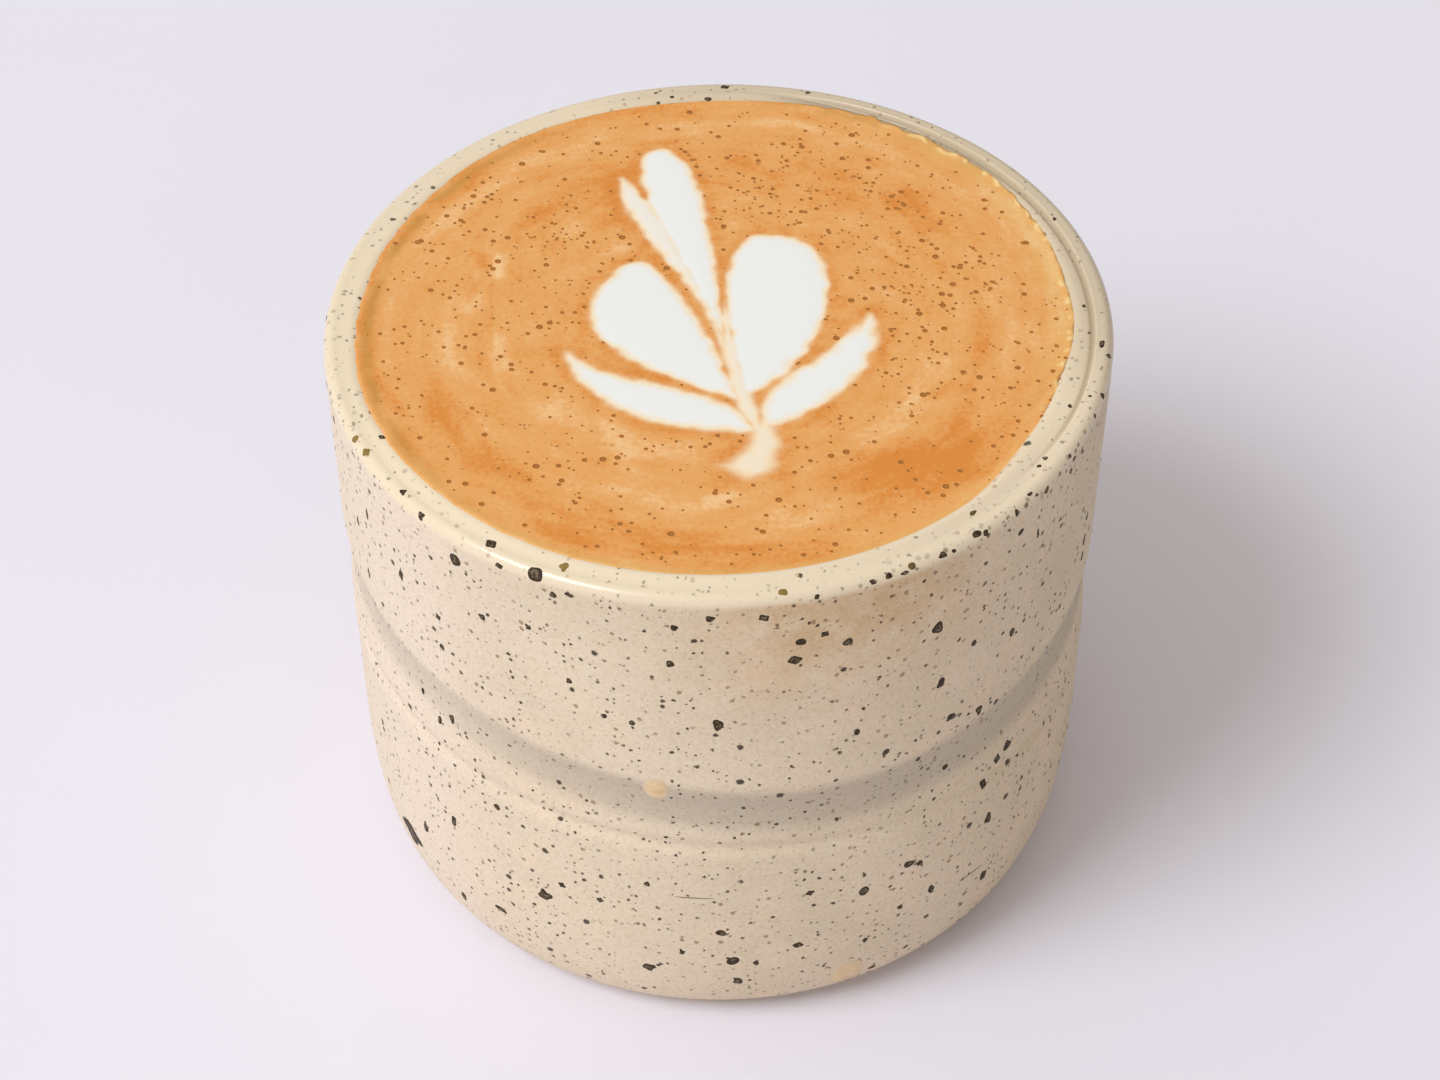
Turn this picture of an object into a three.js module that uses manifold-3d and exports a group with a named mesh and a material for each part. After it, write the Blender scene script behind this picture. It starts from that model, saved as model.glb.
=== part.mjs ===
// A cortado in a hand-thrown stoneware tumbler: the cup, the coffee that fills it to the brim, and
// the milk poured on top as a tulip. Millimetres, +Z up, the foot of the tulip towards -Y.
import * as THREE from "three";
import { mergeVertices } from "three/addons/utils/BufferGeometryUtils.js";
import Module from "manifold-3d";

const wasm = await Module();
wasm.setup();

// Cup, outside
const RIM_RADIUS = 38;
const HEIGHT = 63.5; // mean height of the rim
const RIM_RISE = 0.35; // the thrown rim climbs this much towards +X and drops as much towards -X
const RIM_ROUND = 1.3; // outer rounding of the rim
const RIM_ROUND_STEPS = 3;
const SIDE_RADIUS = 37.4; // where the wall turns into the foot
const SIDE_HEIGHT = 23.2;
const FOOT_RADIUS = 29.7; // flat that the cup stands on
const FOOT_POWER = 3.2; // 2 would be a quarter ellipse, more is boxier

// Throwing groove, one spiral that winds down from the back over the left, the front and the right
const GROOVE_DEPTH = 0.55;
const GROOVE_LIP = [3.6, 6]; // height of the face that steps in, up to the front and from the right on
const GROOVE_RUNOUT = 9; // height over which the wall comes out again below it
const GROOVE_PITCH = 10; // fall in one turn
const GROOVE_FRONT = 37.3; // height of its upper edge at the front
const GROOVE_FADE = [0, 0.22, 1.0, 1.45]; // turns from the back at which it starts, is full, fades, ends
const FRONT_TURN = 0.5; // turns from the back
const RIGHT_TURN = 0.75;

// Cup, inside
const LIP_RADIUS = 35;
const WELL_RADIUS = 32; // where the inner wall turns into the floor
const WELL_HEIGHT = 25;
const FLOOR_RADIUS = 21;
const FLOOR_HEIGHT = 9;
const FLOOR_POWER = 2.6;
const LEDGE_DROP = 0.55; // a second lip inside the rim, on the right
const LEDGE_ANGLE = THREE.MathUtils.degToRad(22); // its middle, from +X towards +Y
const LEDGE_FULL = THREE.MathUtils.degToRad(40); // either side of its middle
const LEDGE_END = THREE.MathUtils.degToRad(66);
// The inner lip from the coffee to the top: out from LIP_RADIUS, below the top, share of the ledge's drop
const LIP_POINTS = [
  { out: 0.1, below: 0.12, share: 1.1 },
  { out: 0.5, below: 0.03, share: 1.0 },
  { out: 1.0, below: 0, share: 0.9 },
  { out: 1.35, below: 0, share: 0.1 },
];

// Coffee and milk
const COFFEE_LEVEL = 63;
const GAP = 0.3; // between neighbouring pieces
const MILK_DEPTH = 1.2;
const MILK_CROWN = 0.15; // how far the milk stands above the coffee
const FIGURE_SHIFT = -0.5; // the tulip's place along Y
const POCKET_OVERSHOOT = 1; // how far the cutter for the milk stands out of the coffee

// Steps
const SEGMENTS = 64;
const WALL_STEPS = 24;
const FOOT_STEPS = 8;
const WELL_STEPS = 6;
const PETAL_STEPS = 12; // on each side of a petal
const MERGE_TOLERANCE = 1e-4;

// The tulip: each petal runs from its base to its tip and back, along one Bezier curve a side
const PETALS = [
  { base: [0.6, -1.5], up: [[-0.3, 9], [-1.5, 26]], tip: [-5.6, 26.6], down: [[-9.5, 26.5], [-5.5, 10]] },
  { base: [0.6, -3], up: [[-3.5, 6.5], [-7.5, 16.5]], tip: [-10.2, 22], down: [[-8.3, 11], [-3.5, 5.5]] },
  { base: [2.4, -11], up: [[11, -5], [14.5, 12.2]], tip: [4.8, 12.5], down: [[-0.8, 12.5], [0.8, -2]] },
  { base: [2.2, -11.8], up: [[-0.5, -3.5], [-6.5, 8.5]], tip: [-8.6, 9], down: [[-17, 1], [-6.5, -8]] },
  { base: [3, -15.2], up: [[-1, -10.5], [-8.5, -9.8]], tip: [-15, -5.3], down: [[-11.5, -13.5], [-4.5, -16]] },
  { base: [3.6, -15.8], up: [[9.5, -15], [15.8, -7.5]], tip: [14.8, 0.6], down: [[11, -8], [4, -9.5]] },
  { base: [3, -22], up: [[5.8, -15.5], [1.6, -8]], tip: [0.6, 2], down: [[-0.6, -8], [3.6, -13.5]] },
];

const { lerp, smoothstep } = THREE.MathUtils;

function rimHeight(angle) {
  return HEIGHT + RIM_RISE * Math.cos(angle);
}

// How far the wall is set in at one turn of the groove, for a distance below its upper edge
function grooveProfile(below, lip) {
  return GROOVE_DEPTH * smoothstep(below, 0, lip) * (1 - smoothstep(below, lip, lip + GROOVE_RUNOUT));
}

function grooveDepth(angle, z) {
  const [start, full, fade, end] = GROOVE_FADE;
  const firstTurn = THREE.MathUtils.euclideanModulo(angle / (2 * Math.PI) + RIGHT_TURN, 1);
  let depth = 0;
  for (const turns of [firstTurn, firstTurn + 1]) {
    const strength = smoothstep(turns, start, full) * (1 - smoothstep(turns, fade, end));
    const upperEdge = GROOVE_FRONT - GROOVE_PITCH * (turns - FRONT_TURN);
    const lip = lerp(...GROOVE_LIP, smoothstep(turns, FRONT_TURN, RIGHT_TURN));
    depth += strength * grooveProfile(upperEdge - z, lip);
  }
  return depth;
}

// A quarter of a superellipse from a wall at [sideRadius, sideHeight] to a flat at [flatRadius, flatHeight]
function turnPoints(sideRadius, sideHeight, flatRadius, flatHeight, power, steps) {
  return Array.from({ length: steps }, (_, k) => {
    const a = ((k + 1) / steps) * (Math.PI / 2);
    const out = Math.max(Math.cos(a), 0) ** (2 / power);
    const down = Math.sin(a) ** (2 / power);
    return [lerp(flatRadius, sideRadius, out), lerp(sideHeight, flatHeight, down)];
  });
}

// The inside from just under the lip down to the floor, pulled in by a clearance
function wellPoints(clearance) {
  const top = [LIP_RADIUS - clearance, COFFEE_LEVEL];
  const side = [WELL_RADIUS - clearance, WELL_HEIGHT];
  const turn = turnPoints(
    WELL_RADIUS - clearance, WELL_HEIGHT, FLOOR_RADIUS, FLOOR_HEIGHT + clearance, FLOOR_POWER, WELL_STEPS);
  return [top, side, ...turn];
}

function ledge(angle) {
  const away = Math.abs(Math.atan2(Math.sin(angle - LEDGE_ANGLE), Math.cos(angle - LEDGE_ANGLE)));
  return LEDGE_DROP * (1 - smoothstep(away, LEDGE_FULL, LEDGE_END));
}

// The rim from its inner lip to the start of the outer wall
function rimPoints(angle) {
  const top = rimHeight(angle);
  const drop = ledge(angle);
  const lip = LIP_POINTS.map(({ out, below, share }) => [LIP_RADIUS + out, top - below - drop * share]);
  const round = Array.from({ length: RIM_ROUND_STEPS + 1 }, (_, k) => {
    const a = (1 - k / RIM_ROUND_STEPS) * (Math.PI / 2);
    return [RIM_RADIUS - RIM_ROUND * (1 - Math.cos(a)), top - RIM_ROUND * (1 - Math.sin(a))];
  });
  return [...lip, ...round];
}

function wallPoints(angle) {
  const start = rimHeight(angle) - RIM_ROUND;
  return Array.from({ length: WALL_STEPS }, (_, k) => {
    const share = (k + 1) / WALL_STEPS;
    const z = lerp(start, SIDE_HEIGHT, share);
    return [lerp(RIM_RADIUS, SIDE_RADIUS, share) - grooveDepth(angle, z), z];
  });
}

function footPoints(angle) {
  return turnPoints(SIDE_RADIUS, SIDE_HEIGHT, FOOT_RADIUS, 0, FOOT_POWER, FOOT_STEPS).map(
    ([r, z]) => [r - grooveDepth(angle, z), z]);
}

// Inside floor, up the wall, over the rim, down the outside and under the foot
function cupSection(angle) {
  return [
    [0, FLOOR_HEIGHT],
    ...wellPoints(0).reverse(),
    ...rimPoints(angle),
    ...wallPoints(angle),
    ...footPoints(angle),
    [0, 0],
  ];
}

function coffeeSection() {
  return [[0, COFFEE_LEVEL], ...wellPoints(GAP), [0, FLOOR_HEIGHT + GAP]];
}

// A closed solid round the Z axis. section(angle) gives equally many [radius, z] points at every
// angle, and its first and last points are poles on the axis.
function ringSolid(section) {
  const sections = Array.from({ length: SEGMENTS }, (_, j) => section((j / SEGMENTS) * 2 * Math.PI));
  const rings = sections[0].length - 2;
  const positions = [0, 0, sections[0][0][1]];
  for (let i = 1; i <= rings; i += 1) {
    for (let j = 0; j < SEGMENTS; j += 1) {
      const angle = (j / SEGMENTS) * 2 * Math.PI;
      const [r, z] = sections[j][i];
      positions.push(r * Math.cos(angle), r * Math.sin(angle), z);
    }
  }
  positions.push(0, 0, sections[0][rings + 1][1]);

  const lastPole = positions.length / 3 - 1;
  const vertex = (i, j) => 1 + i * SEGMENTS + (j % SEGMENTS);
  const index = [];
  for (let j = 0; j < SEGMENTS; j += 1) {
    index.push(0, vertex(0, j), vertex(0, j + 1));
    for (let i = 0; i < rings - 1; i += 1) {
      index.push(vertex(i, j), vertex(i + 1, j), vertex(i + 1, j + 1));
      index.push(vertex(i, j), vertex(i + 1, j + 1), vertex(i, j + 1));
    }
    index.push(vertex(rings - 1, j), lastPole, vertex(rings - 1, j + 1));
  }
  const geometry = new THREE.BufferGeometry();
  geometry.setAttribute("position", new THREE.Float32BufferAttribute(positions, 3));
  geometry.setIndex(index);
  return geometry;
}

// One petal's outline, moved out along its normals by a margin
function petalOutline({ base, up, tip, down }, margin) {
  const path = new THREE.Path();
  path.moveTo(...base);
  path.bezierCurveTo(...up[0], ...up[1], ...tip);
  path.bezierCurveTo(...down[0], ...down[1], ...base);
  const points = path.getPoints(PETAL_STEPS).slice(0, -1);
  const outward = THREE.ShapeUtils.isClockWise(points) ? -1 : 1;
  return points.map((point, k) => {
    const arriving = point.clone().sub(points.at(k - 1)).normalize();
    const leaving = points[(k + 1) % points.length].clone().sub(point).normalize();
    const along = arriving.add(leaving).normalize();
    return new THREE.Vector2(point.x + outward * margin * along.y, point.y - outward * margin * along.x);
  });
}

function toManifold(geometry) {
  const bare = geometry.clone();
  bare.deleteAttribute("normal");
  bare.deleteAttribute("uv");
  const merged = mergeVertices(bare, MERGE_TOLERANCE);
  return new wasm.Manifold(new wasm.Mesh({
    numProp: 3,
    vertProperties: merged.attributes.position.array,
    triVerts: Uint32Array.from(merged.index.array),
  }));
}

function toGeometry(solid) {
  const { vertProperties, triVerts } = solid.getMesh();
  const geometry = new THREE.BufferGeometry();
  geometry.setAttribute("position", new THREE.BufferAttribute(vertProperties, 3));
  geometry.setIndex(new THREE.BufferAttribute(triVerts, 1));
  return geometry;
}

// All petals joined into one plate, between two heights
function tulip(margin, bottom, top) {
  const petals = PETALS.map((petal) => {
    const plate = new THREE.ExtrudeGeometry(
      new THREE.Shape(petalOutline(petal, margin)), { depth: top - bottom, bevelEnabled: false });
    plate.translate(0, FIGURE_SHIFT, bottom);
    return toManifold(plate);
  });
  return petals.reduce((whole, petal) => whole.add(petal));
}

const milk = tulip(0, COFFEE_LEVEL - MILK_DEPTH, COFFEE_LEVEL + MILK_CROWN);
const milkPocket = tulip(GAP, COFFEE_LEVEL - MILK_DEPTH - GAP, COFFEE_LEVEL + POCKET_OVERSHOOT);
const coffee = toManifold(ringSolid(coffeeSection)).subtract(milkPocket);

function piece(name, geometry, color, roughness) {
  const mesh = new THREE.Mesh(geometry, new THREE.MeshStandardMaterial({ color, roughness, metalness: 0 }));
  mesh.name = name;
  return mesh;
}

const cortado = new THREE.Group();
cortado.add(
  piece("cup", ringSolid(cupSection), 0xe2d3bb, 0.5),
  piece("coffee", toGeometry(coffee), 0xdda25c, 0.35),
  piece("milk_tulip", toGeometry(milk), 0xf0efe9, 0.4),
);

export default cortado;
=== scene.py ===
# A cortado in a hand-thrown stoneware cup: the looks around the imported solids.
# Sizes are in millimetres until a mesh is made. Angles run from +X towards +Y.
import math
from collections import namedtuple

import bpy
import numpy as np
from mathutils import Matrix, Vector
from mathutils.bvhtree import BVHTree


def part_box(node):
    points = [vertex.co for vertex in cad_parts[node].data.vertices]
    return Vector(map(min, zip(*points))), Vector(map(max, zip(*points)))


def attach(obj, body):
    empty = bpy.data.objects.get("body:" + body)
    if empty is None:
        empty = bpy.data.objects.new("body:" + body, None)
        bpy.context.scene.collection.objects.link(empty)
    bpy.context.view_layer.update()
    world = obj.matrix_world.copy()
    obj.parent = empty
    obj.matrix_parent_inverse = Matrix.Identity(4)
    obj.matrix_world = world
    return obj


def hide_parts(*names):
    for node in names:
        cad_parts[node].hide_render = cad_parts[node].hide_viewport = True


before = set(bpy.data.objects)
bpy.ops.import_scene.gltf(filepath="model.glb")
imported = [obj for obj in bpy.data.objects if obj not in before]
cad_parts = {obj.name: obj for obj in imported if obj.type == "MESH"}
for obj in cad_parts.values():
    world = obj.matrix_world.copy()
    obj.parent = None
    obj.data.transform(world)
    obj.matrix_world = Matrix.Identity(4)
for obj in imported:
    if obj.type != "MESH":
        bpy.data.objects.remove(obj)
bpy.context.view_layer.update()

MM = 0.001
rng = np.random.default_rng(7)

# Cup, outside
cup_low, cup_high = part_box("cup")
RIM_RADIUS = (cup_high[0] - cup_low[0]) / 2 / MM
RIM_RISE = 0.35
HEIGHT = cup_high[2] / MM - RIM_RISE
RIM_ROUND = 1.1
# The rim slopes down to its outer edge: from which radius, and how far at the back and at the front
RIM_SLOPE_START = 34.6
RIM_SLOPE = (0.2, 0.75)
RIM_FRONT = math.radians(-95)
RIM_FRONT_SPAN = (math.radians(40), math.radians(75))
SIDE_RADIUS = 37.4
SIDE_HEIGHT = 23.2
FOOT_RADIUS = 29.7
FOOT_POWER = 3.2
FOOT_FLAT = 33
THROW_PITCH = 2.6
THROW_DEPTH = 0.012
# Slow unevenness of the thrown wall: waves round the cup, radians per mm of height, size, phase
WOBBLE = [(2, 0.05, 0.05, 0.7), (3, -0.09, 0.04, 2.1), (5, 0.16, 0.02, 4.0)]

# Throwing groove, which dips at the front and fades out at the back: its depth, the height of the face that
# steps in on the left and on the right, and the height over which the wall comes out again
GROOVE_DEPTH = 0.55
GROOVE_LIP = (4.4, 6)
GROOVE_RUNOUT = 9
# Its upper edge: the lowest height and where that is, the rise for each radian away from there, and the bend
GROOVE_LOW = 36.9
GROOVE_LOW_ANGLE = math.radians(-72)
GROOVE_RISE = 4.9
GROOVE_BEND = math.radians(15)
GROOVE_FADE = (math.radians(105), math.radians(160))
# A fine line below it, which winds down to the right: depth, width, height at the front and fall a radian
TRAIL_DEPTH = 0.3
TRAIL_WIDTH = 0.8
TRAIL_FRONT = 28.2
TRAIL_FALL = 2.3

# Cup, inside
LIP_RADIUS = 34.4
LIP_SHIFT = -0.45
# Where the inner edge bulges out (+) or in (-): middle, reach and size
LIP_BUMPS = [(math.radians(52), math.radians(48), 0.95), (math.radians(-25), math.radians(26), -0.85),
             (math.radians(-92), math.radians(65), 0.4), (math.radians(162), math.radians(42), -0.6)]
LIP_REACH = 1.2
LIP_DEPTH = 0.45
WELL_RADIUS = 32
WELL_HEIGHT = 25
FLOOR_RADIUS = 21
FLOOR_HEIGHT = 9
FLOOR_POWER = 2.6
# The second lip inside the rim, on the right
LEDGE_DROP = 0.55
LEDGE_ANGLE = math.radians(22)
LEDGE_SPAN = (math.radians(40), math.radians(66))
LEDGE_STEP = (35.9, 36.3)
CREASE_DEPTH = 0.15
CREASE_WIDTH = 0.22
# Where the inner edge is steep and lies in its own shade
INNER_SHADE_ANGLE = math.radians(57)
INNER_SHADE_SPAN = (math.radians(15), math.radians(28))
# Painted shade darkens and greys the wall and the rim on the right, away from the key light; the glaze is
# paler on the left, and thin and tan under the rim at the front
WALL_SHADE_SPAN = (math.radians(20), math.radians(75))
RIM_SHADE_ANGLE = math.radians(45)
RIM_SHADE_SPAN = (math.radians(40), math.radians(70))
PALE_ANGLE = math.radians(-162)
PALE_SPAN = (math.radians(20), math.radians(50))
TAN_ANGLE = math.radians(-72)
TAN_SPAN = (math.radians(6), math.radians(30))
# Where specks crowd along the rim's outer edge: the middle and the reach of each place
CRUSTS = [(math.radians(-48), math.radians(34)), (math.radians(192), math.radians(22))]
# How far below that edge those specks lie and spread, and where the rim's own glaze and the tan fade out
CRUST_DROP = 1.3
CRUST_WIDTH = 1.1
RIM_FADE = (0.55, 1.5)
TAN_FADE = (2, 20)
# How strongly the painted shade shows in the second lip's crease and on the steep inner edge
CREASE_SHADE_SHARE = 0.6

# Drink
COFFEE_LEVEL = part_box("coffee")[1][2] / MM
COFFEE_OVERLAP = 0.35
SHORE_ANGLE = math.radians(15)
MENISCUS = 0.06
GAP = 0.3
FIGURE_SHIFT = -0.5
MILK_CROWN = 0.03
MILK_DEPTH = 0.4
MILK_MARGIN = 1.2

# Steps
CUP_SEGMENTS = 360
WELL_STEPS = 10
LIP_STEPS = 32
ROUND_STEPS = 8
WALL_STEPS = 110
FOOT_STEPS = 34
DRINK_SEGMENTS = 480
DRINK_RINGS = 130
PETAL_STEPS = 40

# The tulip: each petal runs from its base to its tip and back, along one Bezier curve a side.
# White is how much milk shows, and soft the width over which its edge fades into the crema.
Petal = namedtuple("Petal", "base up tip down white soft")
PETALS = [
    Petal((0.4, -1.5), ((-0.8, 8), (-1.3, 26.5)), (-5.8, 27), ((-10, 26.6), (-6, 14.5)), 1.0, 1.8),
    Petal((0.6, -4), ((-0.6, 4), (-5.6, 18)), (-9.7, 22.2), ((-10.6, 15.5), (-2.2, 8.5)), 0.72, 1.5),
    Petal((2.6, -10.4), ((11.2, -4.6), (13.9, 12.5)), (5, 13.1), ((-0.8, 13), (0.9, -2)), 1.0, 1.8),
    Petal((1.6, -10.8), ((-0.5, -3.5), (-5.6, 9.9)), (-8.4, 8.9), ((-18.8, -1), (-5.2, -7.6)), 1.0, 1.8),
    Petal((3, -15.2), ((0.5, -8.8), (-9.5, -10.2)), (-14.4, -4.6), ((-12.4, -11.7), (-5.5, -15.6)), 0.95, 2.0),
    Petal((4.4, -14.8), ((9.6, -12.8), (16.2, -6.2)), (14.7, 0.9), ((10.6, -6.6), (3, -8.6)), 0.95, 2.0),
    Petal((4.2, -17), ((3.6, -11.5), (2.4, -6)), (0.6, 3), ((-0.1, -5), (1, -11.5)), 0.6, 1.8),
    Petal((0.2, -20.2), ((5, -24.8), (6.4, -18.5)), (4.8, -13.4), ((2.2, -14.5), (4.2, -18.6)), 0.52, 2.4),
]
PETAL_RAGGED = 0.1

# Strokes of paler (+) or deeper (-) crema along arcs round the cup: angles in degrees, radii and width in mm
Stroke = namedtuple("Stroke", "start end radius_start radius_end width tone")
STROKES = [
    Stroke(70, 240, 34.2, 33.6, 1.1, -0.5),
    Stroke(225, 300, 32.4, 32.8, 1.3, -0.6),
    Stroke(10, 200, 31.2, 31.2, 1.0, 0.45),
    Stroke(100, 150, 23, 23, 3.0, -0.5),
    Stroke(20, 110, 25, 24, 4.0, -0.3),
    Stroke(153, 166, 24.6, 22.6, 1.0, 0.95),
    Stroke(155, 163, 26.2, 25.2, 0.9, -0.9),
    Stroke(131, 144, 20.5, 19.8, 0.9, 0.65),
    Stroke(168, 180, 24, 24.2, 1.4, 0.6),
    Stroke(181, 203, 21, 21.2, 0.9, 0.7),
    Stroke(178, 204, 25.5, 25.8, 1.0, 0.5),
    Stroke(126, 141, 14.4, 14.6, 0.8, 0.6),
    Stroke(205, 275, 19.5, 20, 1.3, 0.6),
    Stroke(195, 238, 29, 29, 2.0, -0.6),
    Stroke(232, 275, 29.8, 30, 1.4, -0.55),
    Stroke(235, 280, 26, 26.2, 0.8, 0.4),
    Stroke(268, 303, 28.3, 28.6, 1.5, 0.5),
    Stroke(265, 276, 25, 24.8, 0.7, 0.8),
    Stroke(288, 334, 26.5, 29.5, 3.4, -0.95),
    Stroke(-62, -5, 21.5, 22, 1.2, 0.6),
    Stroke(-34, 10, 25.3, 25.3, 1.1, -0.5),
    Stroke(-32, -20, 23.2, 23.2, 0.7, -0.6),
    Stroke(-28, 34, 27.6, 27.6, 1.0, 0.35),
    Stroke(28, 50, 25.6, 25.6, 2.2, -0.4),
    Stroke(-12, 45, 33.2, 33.2, 1.1, 0.8),
]
# How far the crema deepens beside the milk
BESIDE_MILK = -0.35
# Where the crema's edge is olive, partly its own colour and partly painted shade of the meniscus, and where it
# is golden
OLIVE_SHADE_LEFT = math.radians(172)
OLIVE_SHADE_RIGHT = math.radians(58)
GOLDEN_RIGHT = math.radians(20)
GOLDEN_FRONT = math.radians(-90)

# Bubbles in the crema: where they crowd, as x, y, reach and strength
BUBBLE_CROWDS = [(8, 20, 9, 0.8), (22, 5, 8, 0.6), (-15, 9, 9, 0.5), (14, -12, 8, 0.2)]
BUBBLE_FLOOR = 0.3
BUBBLE_TRIES = 3400
BUBBLE_RADIUS = (0.07, 0.16, 0.4)
BUBBLE_SPREAD = 0.42
BUBBLE_SIDES = 8
# A bubble's crater from its middle out: share of its radius, and rise as a share of its radius
BUBBLE_PROFILE = [(0.35, 0.02), (0.7, 0.06), (0.88, 0.1), (1.0, -0.03)]

# Marks on the cup, by their pixel in the photograph, with their width and height in mm.
# Tint is 0 for a dark iron spot and 1 for an olive one.
Spot = namedtuple("Spot", "x y width height tint", defaults=[0])
SPOTS = [
    Spot(535, 575, 1.8, 1.9), Spot(455, 560, 1.5, 1.7), Spot(491, 544, 1.3, 1.0), Spot(421, 516, 1.0, 0.8),
    Spot(403, 492, 0.8, 0.7), Spot(382, 437, 0.8, 0.6), Spot(355, 439, 0.9, 0.9, 1),
    Spot(366, 452, 1.0, 1.0, 1), Spot(564, 567, 0.9, 1.1, 1), Spot(783, 592, 1.0, 0.8, 1),
    Spot(499, 566, 0.9, 0.7), Spot(553, 595, 0.8, 0.9),
    Spot(569, 595, 0.9, 0.7), Spot(710, 619, 1.0, 0.9), Spot(674, 628, 0.8, 0.9), Spot(401, 575, 0.8, 1.6),
    Spot(369, 573, 0.6, 1.5), Spot(358, 521, 0.6, 1.5), Spot(367, 514, 0.6, 1.6), Spot(482, 617, 0.9, 0.9),
    Spot(438, 617, 0.8, 0.9), Spot(442, 647, 0.8, 0.9), Spot(528, 627, 0.7, 0.8), Spot(670, 664, 0.9, 1.0),
    Spot(718, 725, 1.2, 1.6), Spot(632, 723, 0.7, 0.8), Spot(604, 716, 0.7, 0.7), Spot(569, 681, 0.7, 0.8),
    Spot(440, 720, 0.7, 1.2), Spot(452, 719, 0.8, 1.4), Spot(423, 691, 0.6, 1.0), Spot(497, 807, 0.9, 1.0),
    Spot(454, 821, 0.9, 1.7), Spot(426, 827, 1.0, 1.8), Spot(545, 895, 1.6, 1.8), Spot(562, 885, 0.8, 0.9),
    Spot(600, 900, 0.8, 0.8), Spot(464, 896, 0.9, 1.6), Spot(501, 909, 1.8, 0.9), Spot(647, 884, 0.7, 0.8),
    Spot(721, 933, 1.1, 1.2), Spot(682, 952, 0.7, 0.9), Spot(649, 967, 1.4, 1.5), Spot(733, 961, 1.5, 1.6),
    Spot(738, 981, 1.1, 1.4), Spot(764, 618, 1.2, 0.9), Spot(801, 642, 1.2, 1.0), Spot(795, 660, 1.5, 1.2),
    Spot(825, 634, 0.9, 0.8), Spot(848, 642, 1.1, 1.1), Spot(938, 628, 1.4, 1.7), Spot(974, 643, 0.8, 0.9),
    Spot(1012, 632, 0.9, 1.3), Spot(941, 683, 1.1, 1.4), Spot(857, 732, 0.8, 0.9), Spot(979, 710, 1.0, 1.4),
    Spot(951, 717, 1.3, 1.1), Spot(886, 752, 0.8, 1.0), Spot(1007, 745, 1.2, 1.6), Spot(945, 767, 0.8, 0.9),
    Spot(997, 759, 1.0, 1.4), Spot(983, 784, 1.0, 1.3), Spot(988, 818, 1.2, 1.7), Spot(909, 864, 1.2, 1.3),
    Spot(920, 863, 0.8, 1.0), Spot(864, 891, 1.3, 1.5), Spot(931, 889, 1.0, 1.3), Spot(983, 875, 1.2, 1.8),
    Spot(810, 893, 0.9, 0.9), Spot(798, 945, 1.2, 1.0), Spot(865, 940, 0.7, 0.9), Spot(900, 907, 0.7, 0.9),
    Spot(872, 967, 1.0, 1.0), Spot(756, 963, 0.7, 0.9), Spot(1054, 219, 0.6, 0.6), Spot(1102, 344, 1.3, 0.6),
    Spot(1109, 356, 0.7, 0.7), Spot(1103, 396, 0.8, 0.9), Spot(1084, 306, 0.5, 0.5), Spot(1070, 406, 0.6, 0.5),
]
# Those that crowd along the rim, at the front right and at the back
SPOTS += [
    Spot(977, 534, 1.0, 0.9), Spot(986, 533, 0.7, 0.8), Spot(973, 513, 0.9, 0.5, 0.4),
    Spot(1030, 494, 0.6, 0.5), Spot(1037, 495, 0.5, 0.4), Spot(1039, 466, 0.5, 0.5),
    Spot(1045, 458, 0.6, 0.6), Spot(1070, 456, 0.5, 0.5), Spot(1074, 459, 0.5, 0.8),
    Spot(1071, 471, 0.7, 0.8), Spot(1082, 451, 0.6, 0.7), Spot(1047, 490, 0.8, 1.0, 0.3),
    Spot(1017, 513, 0.6, 0.9), Spot(1021, 532, 0.8, 0.9), Spot(1090, 396, 0.4, 0.4),
    Spot(1095, 416, 0.5, 0.6), Spot(1038, 534, 0.5, 1.1), Spot(943, 555, 1.0, 0.7),
    Spot(954, 551, 0.5, 0.5), Spot(1087, 516, 0.9, 1.2), Spot(1084, 540, 0.9, 1.8),
    Spot(1082, 556, 0.9, 1.5), Spot(912, 566, 0.9, 0.8, 0.4), Spot(905, 573, 0.7, 0.6),
    Spot(889, 576, 0.8, 0.7), Spot(873, 582, 0.7, 0.6), Spot(817, 597, 0.6, 0.6), Spot(715, 84, 0.6, 0.5),
    Spot(725, 87, 1.0, 0.8), Spot(708, 99, 0.9, 0.5), Spot(656, 93, 0.5, 0.4), Spot(672, 97, 0.5, 0.5),
]
# A large chipped pit on the left, and two scratches in the glaze
SPOTS += [Spot(412, 832, 5.0, 3.4), Spot(971, 873, 4.2, 0.14), Spot(693, 898, 4.2, 0.12)]
# More of them where the photograph sees the wall edge on or not at all
SCATTERED_SPOTS = 170
SCATTER_SPAN = (math.radians(-35), math.radians(200))
SPOT_LIFT = 0.04
SPOT_RAGGED = 0.1

# Coffee that ran down the outside
DRIPS = [Spot(656, 789, 2.7, 3.6), Spot(846, 973, 4.0, 6.0)]
DRIP_LIFT = 0.18
DRIP_RAGGED = 0.02

# Camera: the photograph's size in pixels, focal length in its pixels, and where the camera stands
PHOTO_SIZE = (1440, 1080)
FOCAL_PIXELS = 3400
SENSOR_WIDTH = 36
CAMERA_ELEVATION = math.radians(44.14)
CAMERA_ROLL = math.radians(-0.24)
CAMERA_DISTANCE = 348.2
CAMERA_TARGET = (0.08, 0, 33.34)

# Light
KEY_DIRECTION = (-0.534, -0.334, 0.777)
KEY_DISTANCE = 2.4
KEY_SIZE = 1.2
KEY_POWER = 37
KEY_COLOUR = (0.87, 0.935, 1.0)
SKY_SIDE = (-0.72, -0.2, 0.66)
SKY_BRIGHT = (0.80, 0.76, 0.725)
SKY_DIM = (0.13, 0.11, 0.088)
FLOOR_SIZE = 4


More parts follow.
